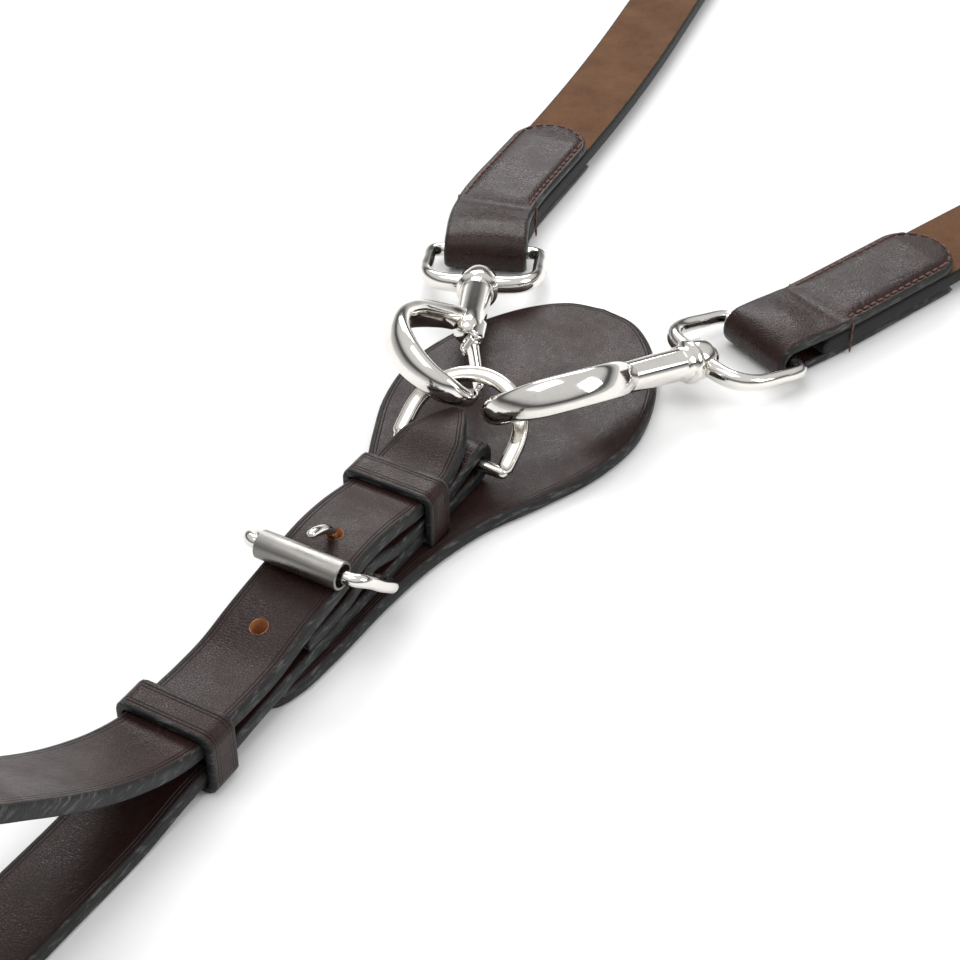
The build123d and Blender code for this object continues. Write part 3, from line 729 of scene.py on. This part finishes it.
for side, s in SIDES.items():
    body = side + "_shoulder"
    line = Run(smooth_path(plan(side), 1.5))
    bar = Vector((*s["bar"], BAR_Z))
    forward = compass(s["heading"]) * -1
    right_way = compass(s["heading"]).cross(Vector((0, 0, 1)))
    # lower leg, fold round the bar, top leg
    under = []
    where = CHAPE_LEN - 7.0
    while where > 1.0:
        under.append(line.place(where)[0] + Vector((0, 0, BAR_Z - LEG_RISE)))
        where -= 1.5
    turn = []
    for k in range(19):
        a = math.radians(-90 + 10 * k)
        turn.append(bar + forward * (LEG_RISE * math.cos(a)) + Vector((0, 0, LEG_RISE * math.sin(a))))
    over = []
    where = 1.0
    while where < CHAPE_LEN:
        over.append(line.place(where)[0] + Vector((0, 0, BAR_Z + LEG_RISE)))
        where += 1.5
    run = Run(under + turn + over)
    top_from = run.length - CHAPE_LEN

    def chape_side(where, way, line=line, run=run, right_way=right_way, top_from=top_from):
        along = abs(where - top_from)
        if along < 8.0:
            return right_way
        flow = line.place(along)[1]
        return flow.cross(Vector((0, 0, 1)))

    def end_half(where, run=run):
        left_over = run.length - where
        if left_over > CHAPE_LEN + 12.0:
            # the lower leg, kept a little inside the top one
            return SHOULDER_W / 2 - 0.9
        if left_over >= CHAPE_ROUND:
            return SHOULDER_W / 2
        part = (CHAPE_ROUND - left_over) / CHAPE_ROUND
        return max(0.4, SHOULDER_W / 2 * math.sqrt(max(0.0, 1.0 - part ** 2)))

    def swell(where, x, half, top_from=top_from, run=run):
        """The neck stands up in a soft roll, then the sewn part is padded between its seams."""
        along = where - top_from
        across = max(0.0, 1.0 - (x / SHOULDER_W * 2) ** 2)
        if along < -6.0:
            return 0.0
        neck = math.exp(-((along - 7.0) / 9.0) ** 2) * (0.3 + 1.5 * across)
        dip = -0.35 * math.exp(-((along - 23.0) / 2.2) ** 2)
        sewn = min(1.0, max(0.0, (along - 24.0) / 6.0)) * min(1.0, (run.length - where) / 12.0)
        gap = max(0.0, min(1.0, (half - abs(x) - 2.2) / 4.0))
        groove = -0.25 * math.exp(-((half - abs(x) - SEAM_INSET) / 0.8) ** 2) if sewn > 0 else 0.0
        return neck + dip + sewn * (0.9 * gap * (2 - gap)) + groove * sewn

    strip(side + "_chape_v", run, SHOULDER_W, LEG_T, chape_side, mat_plain, body, [side + "_chape"],
          half_at=end_half, belly=swell, rounding=1.5, fine_end=16.0, step=1.3)

    strap_points = []
    where = 12.5
    while where <= line.length:
        strap_points.append(line.place(where)[0] + Vector((0, 0, BAR_Z)))
        where += 2.0
    strap_points.append(line.place(line.length)[0] + Vector((0, 0, BAR_Z)))
    strip(side + "_strap_v", Run(strap_points), SHOULDER_W - 0.6, 5.4, level_side, mat_suede, body,
          [side + "_strap"], rounding=1.0, step=2.5)

    # loop at the far end
    end = line.place(line.length)[0]
    way = (plan(side)[-1] - plan(side)[-2]).normalized()
    middle = end + way * 14.0 + Vector((0, 0, BAR_Z))
    low = [middle - way * (49.0 - 2.0 * k) - Vector((0, 0, LEG_RISE)) for k in range(25)]
    top = [middle - way * (2.0 * k) + Vector((0, 0, LEG_RISE)) for k in range(1, 29)]
    bend = []
    for k in range(19):
        a = math.radians(-90 + 10 * k)
        bend.append(middle + way * (LEG_RISE * math.cos(a)) + Vector((0, 0, LEG_RISE * math.sin(a))))
    far_side = way.cross(Vector((0, 0, -1)))
    strip(side + "_end_loop_v", Run(low + bend + top), SHOULDER_W, LEG_T,
          lambda where, way, far_side=far_side: far_side, mat_plain, body, [side + "_end_loop"],
          rounding=1.0, step=1.5)

    # stitches: a seam round the sewn part and a wrap of thread at the neck
    mesh = bmesh.new()
    up = Vector((0, 0, 1))
    seam_z = BAR_Z + LEG_RISE + LEG_T / 2 + 0.05
    seam_x = SHOULDER_W / 2 - SEAM_INSET
    count = int((CHAPE_LEN - CHAPE_ROUND - SEAM_FROM) / STITCH_STEP)
    for k in range(count + 1):
        spot, way = line.place(SEAM_FROM + STITCH_STEP * k)
        out = way.cross(up)
        for sign in (-1, 1):
            stitch(mesh, spot + out * (sign * seam_x) + up * seam_z, way, up)
    # wrap of thread over the edge at the neck
    spot, way = line.place(24.5)
    out = way.cross(up)
    for sign in (-1, 1):
        side_at = spot + out * (sign * (SHOULDER_W / 2 + 0.15))
        for k in range(3):
            stitch(mesh, side_at + up * (2.2 + 4.2 * k), up, out * sign, 3.9, 0.42)
    # the seam round the end
    spot, way = line.place(CHAPE_LEN - CHAPE_ROUND)
    out = way.cross(up)
    for k in range(-4, 5):
        a = math.radians(20.5 * k)
        centre = spot + out * (seam_x * math.sin(a)) + way * (10.6 * math.cos(a)) + up * seam_z
        tangent = (out * math.cos(a) - way * math.sin(a)).normalized()
        stitch(mesh, centre, tangent, up)
    bmesh.ops.recalc_face_normals(mesh, faces=mesh.faces)
    finish_mesh(side + "_seam_v", mesh, mat_thread, body, [side + "_seam"])


# ---------------------------------------------------------------- hardware
END_STEPS = (0.0, 0.06, 0.25, 0.6, 1.1, 1.7)    # sections at the rounded end of a bar
SHARP_METAL = math.radians(34.0)


def tube(mesh, run, radii, side, step=0.9, power=2.0, count=20):
    """A bar carried along run. radii(part) gives its half width along side and its half thickness; part
    goes from 0 to 1 along the bar."""
    stations = [0.0] if run.closed else list(END_STEPS)
    where = stations[-1] + step
    while where < run.length - (0.5 * step if run.closed else END_STEPS[-1]):
        stations.append(where)
        where += step
    if not run.closed:
        stations += [run.length - d for d in reversed(END_STEPS)]
    rings = []
    for where in stations:
        spot, way = run.place(where)
        out = (side - way * side.dot(way)).normalized()
        up = out.cross(way)
        wide, thick = radii(where / run.length)
        scale = 1.0
        to_end = min(where, run.length - where)
        if not run.closed and to_end < thick:
            scale = max(0.05, math.sqrt(max(0.0, 1.0 - ((thick - to_end) / thick) ** 2)))
        ring = []
        for k in range(count):
            a = 2 * math.pi * k / count
            c, s = math.cos(a), math.sin(a)
            c = math.copysign(abs(c) ** (2 / power), c)
            s = math.copysign(abs(s) ** (2 / power), s)
            ring.append(mesh.verts.new((spot + out * (wide * scale * c) + up * (thick * scale * s)) * MM))
        rings.append(ring)
    pairs = list(zip(rings, rings[1:]))
    if run.closed:
        pairs.append((rings[-1], rings[0]))
    else:
        mesh.faces.new(rings[0])
        mesh.faces.new(rings[-1])
    for a, b in pairs:
        for k in range(count):
            mesh.faces.new((a[k], a[(k + 1) % count], b[(k + 1) % count], b[k]))


def lathe(mesh, origin, axis, profile, count=48, bored=False):
    """A turned shape: profile is (distance along axis, radius). A bored one runs back along its bore."""
    out = axis.orthogonal().normalized()
    up = axis.cross(out)
    rings = []
    for along, radius in profile:
        ring = []
        for k in range(count):
            a = 2 * math.pi * k / count
            spoke = out * math.cos(a) + up * math.sin(a)
            ring.append(mesh.verts.new((origin + axis * along + spoke * radius) * MM))
        rings.append(ring)
    pairs = list(zip(rings, rings[1:]))
    if bored:
        pairs.append((rings[-1], rings[0]))
    else:
        mesh.faces.new(rings[0])
        mesh.faces.new(rings[-1])
    for a, b in pairs:
        for k in range(count):
            mesh.faces.new((a[k], a[(k + 1) % count], b[(k + 1) % count], b[k]))


def steps(*keys):
    """Radii for tube: a smooth change between (part, wide, thick) keys."""
    def at(part):
        for (p0, *a), (p1, *b) in zip(keys, keys[1:]):
            if part <= p1:
                t = max(0.0, (part - p0) / (p1 - p0))
                t = t * t * (3 - 2 * t)
                return tuple(x + (y - x) * t for x, y in zip(a, b))
        return tuple(keys[-1][1:])
    return at


def hard_mesh(name, mesh, mat, body, nodes):
    bmesh.ops.recalc_face_normals(mesh, faces=mesh.faces)
    for edge in mesh.edges:
        edge.smooth = edge.calc_face_angle(0.0) < SHARP_METAL
    return finish_mesh(name, mesh, mat, body, nodes)


def even(wide, thick):
    """Radii for a tube that is the same all along."""
    return lambda part: (wide, thick)


# on a hook: distance along the snap's axis from the collar, and distance towards the bow
GATE_PIN = (38.0, -2.6)
HOOK_TIP = (67.5, -8.0)
BAND = ((22.0, 0.5), (26.0, 3.6), (31.0, 9.5), (41.0, 18.5), (52.0, 23.0), (64.0, 21.3), (73.4, 14.0),
        (77.0, 4.5), (74.6, -4.4), HOOK_TIP)
BAND_RADII = steps((0.0, 3.4, 3.0), (0.10, 4.2, 3.1), (0.34, 5.5, 3.1), (0.62, 5.6, 3.2),
                   (0.80, 4.6, 3.0), (0.92, 3.0, 2.3), (1.0, 1.9, 1.7))
GATE_RADII = steps((0.0, 2.3, 1.6), (0.2, 2.3, 1.35), (1.0, 2.2, 1.2))
# turned shapes: (distance along the axis, radius)
BARREL = ((-3.2, 3.0), (-3.2, 6.2), (-3.0, 6.8), (-2.5, 7.15), (-1.7, 7.2), (-0.9, 7.0), (-0.4, 6.4),
          (-0.1, 5.9), (0.6, 5.75), (2.0, 5.7), (2.5, 5.35), (12.0, 5.25), (24.0, 5.0),
          (30.0, 4.9), (32.4, 4.5), (34.2, 3.5), (35.0, 2.2), (35.3, 0.8))
STEM = ((-12.2, 2.2), (-12.2, 3.4), (-11.6, 3.8), (-9.8, 3.8), (-9.5, 2.6), (-3.0, 2.6))
GATE_EYE = ((-2.3, 1.08), (-2.3, 1.8), (-2.0, 2.1), (2.0, 2.1), (2.3, 1.8), (2.3, 1.08))
BOSS = ((3.35, 2.72), (3.35, 6.0), (3.7, 6.5), (4.5, 6.6), (7.9, 6.6), (8.8, 6.3), (9.3, 5.5),
        (9.45, 4.3), (9.45, 2.72))
# right half of the eye's wire: (sideways, back from the collar)
HALF_EYE = ((3.0, 6.4), (9.0, 6.8), (13.6, 8.0), (17.0, 10.8), (18.9, 14.6), (19.5, 19.0), (19.5, 26.0),
            (19.5, 31.0), (18.8, 34.2), (16.4, 35.8), (12.0, 36.0), (6.0, 36.0))
EYE_RADII = steps((0.0, 3.3, 2.8), (0.10, 3.1, 2.6), (0.2, 2.5, 2.35), (0.3, 2.3, 2.3), (0.7, 2.3, 2.3),
                  (0.8, 2.5, 2.35), (0.9, 3.1, 2.6), (1.0, 3.3, 2.8))

for side, s in SIDES.items():
    collar, axis, bow, normal, across = (s[k] for k in ("collar", "axis", "bow", "normal", "across"))

    def on_hook(u, v, w=0.0):
        return collar + axis * u + bow * v + normal * w

    # barrel with its collar and the bowed band
    mesh = bmesh.new()
    lathe(mesh, collar, axis, BARREL)
    lathe(mesh, collar, axis, STEM, 24)
    band = Run(smooth_path([on_hook(*p) for p in BAND], 0.8))
    tube(mesh, band, BAND_RADII, normal, 0.7, 2.3, 28)
    # two ears that hold the pin of the gate
    for sign in (-1, 1):
        ear = Run([on_hook(GATE_PIN[0] - 12.5 + 0.5 * k, GATE_PIN[1] + 0.2, sign * 3.4)
                   for k in range(29)])
        tube(mesh, ear, even(0.9, 2.3), normal, 0.8, 2.8, 20)
    hard_mesh(side + "_hook_v", mesh, mat_nickel, side + "_snap", [side + "_hook"])

    # sprung gate
    mesh = bmesh.new()
    near_pin = on_hook(GATE_PIN[0] + 1.9, GATE_PIN[1] - 0.3)
    near_tip = on_hook(HOOK_TIP[0] - 2.4, HOOK_TIP[1])
    gate = Run([near_pin.lerp(near_tip, k / 30) for k in range(31)])
    tube(mesh, gate, GATE_RADII, normal, 0.8, 3.0, 20)
    lathe(mesh, on_hook(*GATE_PIN), normal, GATE_EYE, 28, True)
    hard_mesh(side + "_gate_v", mesh, mat_nickel, side + "_gate", [side + "_gate"])

    # swivel eye: boss, arms and bar
    back = axis * -1

    def on_eye(x, y):
        return collar + across * x + back * y

    mesh = bmesh.new()
    loop = [on_eye(x, y) for x, y in HALF_EYE] + [on_eye(-x, y) for x, y in reversed(HALF_EYE)]
    tube(mesh, Run(smooth_path(loop, 0.8)), EYE_RADII, across.cross(back), 0.7, 2.1, 24)
    lathe(mesh, collar, back, BOSS, bored=True)
    hard_mesh(side + "_eye_v", mesh, mat_nickel, side + "_eye", [side + "_eye"])

# ring: flat band bent to an arc, with a round bar in the fold
TILT = math.radians(33.0)
RING_MIDDLE = Vector((1.5, RING_Y, RING_Z))
RING_R = 18.5            # middle of the band
RING_RISE = 8.5          # from the bar to the middle of the arc
RING_RADII = steps((0.0, 1.95, 2.3), (0.06, 1.95, 2.45), (0.94, 1.95, 2.45), (1.0, 1.95, 2.3))
ring_up = Vector((0, math.cos(TILT), math.sin(TILT)))
ring_face = Vector((0, -math.sin(TILT), math.cos(TILT)))
leg = (-0.4, 2.0, 4.5, RING_RISE)
half_ring = [(RING_R, d) for d in leg]
half_ring += [(RING_R * math.cos(math.radians(a)), RING_RISE + RING_R * math.sin(math.radians(a)))
              for a in range(6, 175, 6)]
half_ring += [(-RING_R, d) for d in reversed(leg)]
mesh = bmesh.new()
arch = Run([RING_MIDDLE + Vector((x, 0, 0)) + ring_up * d for x, d in half_ring])
tube(mesh, arch, RING_RADII, ring_face, 0.7, 2.9, 28)
bar = Run([RING_MIDDLE + Vector((x, 0, 0)) for x in range(-20, 21, 2)])
tube(mesh, bar, even(2.0, 2.0), Vector((0, 0, 1)), 1.0, 2.0, 20)
hard_mesh("ring_v", mesh, mat_ring, "ring", ["ring"])

# buckle: pin of the roller, bowed cheeks and heel bar in one bent wire
mesh = bmesh.new()
half_frame = [(-6.0, 0, ROLLER_Z), (-13.0, 0, ROLLER_Z), (-16.6, 0, ROLLER_Z), (-18.6, 1.6, 25.9),
              (-19.6, 4.4, 23.7), (-20.2, 8.0, 20.2), (-20.1, 11.6, 17.0), (-19.3, 14.8, 14.0),
              (-17.6, 16.8, 12.2), (-13.0, HEEL_Y, HEEL_Z), (-5.0, HEEL_Y, HEEL_Z)]
frame_run = half_frame + [(-x, y, z) for x, y, z in reversed(half_frame)]
closed_wire = Run(smooth_path(frame_run + [frame_run[0]], 0.9)[:-1], closed=True)
tube(mesh, closed_wire, even(2.0, 2.0), Vector((0.02, 0.66, 0.75)), 0.9, 2.0, 20)
hard_mesh("buckle_frame_v", mesh, mat_nickel, "girth", ["buckle_frame"])

# tongue: a prong with a hoop round the heel bar
HOOP_R = 2.84
PRONG_RADII = steps((0.0, 1.8, 1.4), (0.3, 1.5, 1.5), (0.85, 1.5, 1.4), (1.0, 1.3, 1.1))
mesh = bmesh.new()
prong = Run(smooth_path([(0, HEEL_Y, 14.8), (0, 16.5, 20.4), (0, 14.6, 26.0), (0, 10.4, 29.8),
                         (0, 4.2, 32.4)], 0.7))
tube(mesh, prong, PRONG_RADII, Vector((1, 0, 0)), 0.7)
hoop = [Vector((0, HEEL_Y + HOOP_R * math.sin(math.radians(a)), HEEL_Z + HOOP_R * math.cos(math.radians(a))))
        for a in range(0, 360, 12)]
tube(mesh, Run(hoop, closed=True), even(1.6, 0.6), Vector((1, 0, 0)), 0.6, 2.6)
hard_mesh("tongue_v", mesh, mat_nickel, "tongue", ["tongue"])

# roller: thin tube
ROLLER_HALF = 13.5
half_roller = [(ROLLER_HALF - 0.6, 4.2), (ROLLER_HALF - 0.18, 4.18), (ROLLER_HALF, 4.0),
               (ROLLER_HALF, 3.6), (ROLLER_HALF - 0.05, 3.42)]
roller_profile = [(-x, radius) for x, radius in reversed(half_roller)] + half_roller
mesh = bmesh.new()
lathe(mesh, Vector((0, 0, ROLLER_Z)), Vector((1, 0, 0)), roller_profile, 56, True)
hard_mesh("roller_v", mesh, mat_steel, "roller", ["roller"])

# the pins of the gates stay as they are in the frame
for side in SIDES:
    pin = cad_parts[side + "_gate_pin"]
    pin.data.materials.clear()
    pin.data.materials.append(mat_nickel)

# ---------------------------------------------------------------- studio
bpy.ops.mesh.primitive_plane_add(size=30.0, location=(0, 0, -0.0002))
floor = bpy.context.object
floor.name = "Floor"
paper = bpy.data.materials.new("Paper")
paper.use_nodes = True
paper_bsdf = paper.node_tree.nodes["Principled BSDF"]
paper_bsdf.inputs["Base Color"].default_value = (0.86, 0.86, 0.86, 1.0)
paper_bsdf.inputs["Roughness"].default_value = 0.9
paper_bsdf.inputs["Specular IOR Level"].default_value = 0.1
floor.data.materials.append(paper)

world = bpy.data.worlds.new("Studio")
bpy.context.scene.world = world
world.use_nodes = True
sky = world.node_tree
direction = sky.nodes.new("ShaderNodeTexCoord").outputs["Generated"]
split = sky.nodes.new("ShaderNodeSeparateXYZ")
sky.links.new(direction, split.inputs[0])
ramp = sky.nodes.new("ShaderNodeValToRGB")
ramp.color_ramp.elements[0].position = 0.0
ramp.color_ramp.elements[0].color = (0.95, 0.95, 0.95, 1.0)
ramp.color_ramp.elements[1].position = 0.72
ramp.color_ramp.elements[1].color = (1.0, 1.0, 1.0, 1.0)
for place, shade in ((0.12, 0.60), (0.24, 0.10), (0.32, 0.14), (0.40, 0.60), (0.52, 0.92)):
    stop = ramp.color_ramp.elements.new(place)
    stop.color = (shade, shade, shade, 1.0)
sky.links.new(split.outputs["Z"], ramp.inputs["Fac"])
sky.links.new(ramp.outputs["Color"], sky.nodes["Background"].inputs["Color"])
sky.nodes["Background"].inputs["Strength"].default_value = 0.8


def softbox(name, place, aim, size, power):
    data = bpy.data.lights.new(name, "AREA")
    data.shape = "RECTANGLE"
    data.size, data.size_y = size
    data.energy = power
    lamp = bpy.data.objects.new(name, data)
    lamp.location = place
    lamp.rotation_euler = (Vector(aim) - Vector(place)).to_track_quat("-Z", "Y").to_euler()
    bpy.context.collection.objects.link(lamp)


softbox("KeyBox", (-0.9, 1.5, 1.3), (0, 0.05, 0), (1.4, 0.9), 26.0)
softbox("FillBox", (1.6, 0.5, 1.1), (0, 0.05, 0), (0.9, 0.9), 12.0)
softbox("TopBox", (-0.2, -0.3, 1.8), (0, 0.05, 0), (1.2, 1.2), 12.0)
bpy.context.scene.view_settings.view_transform = "Standard"
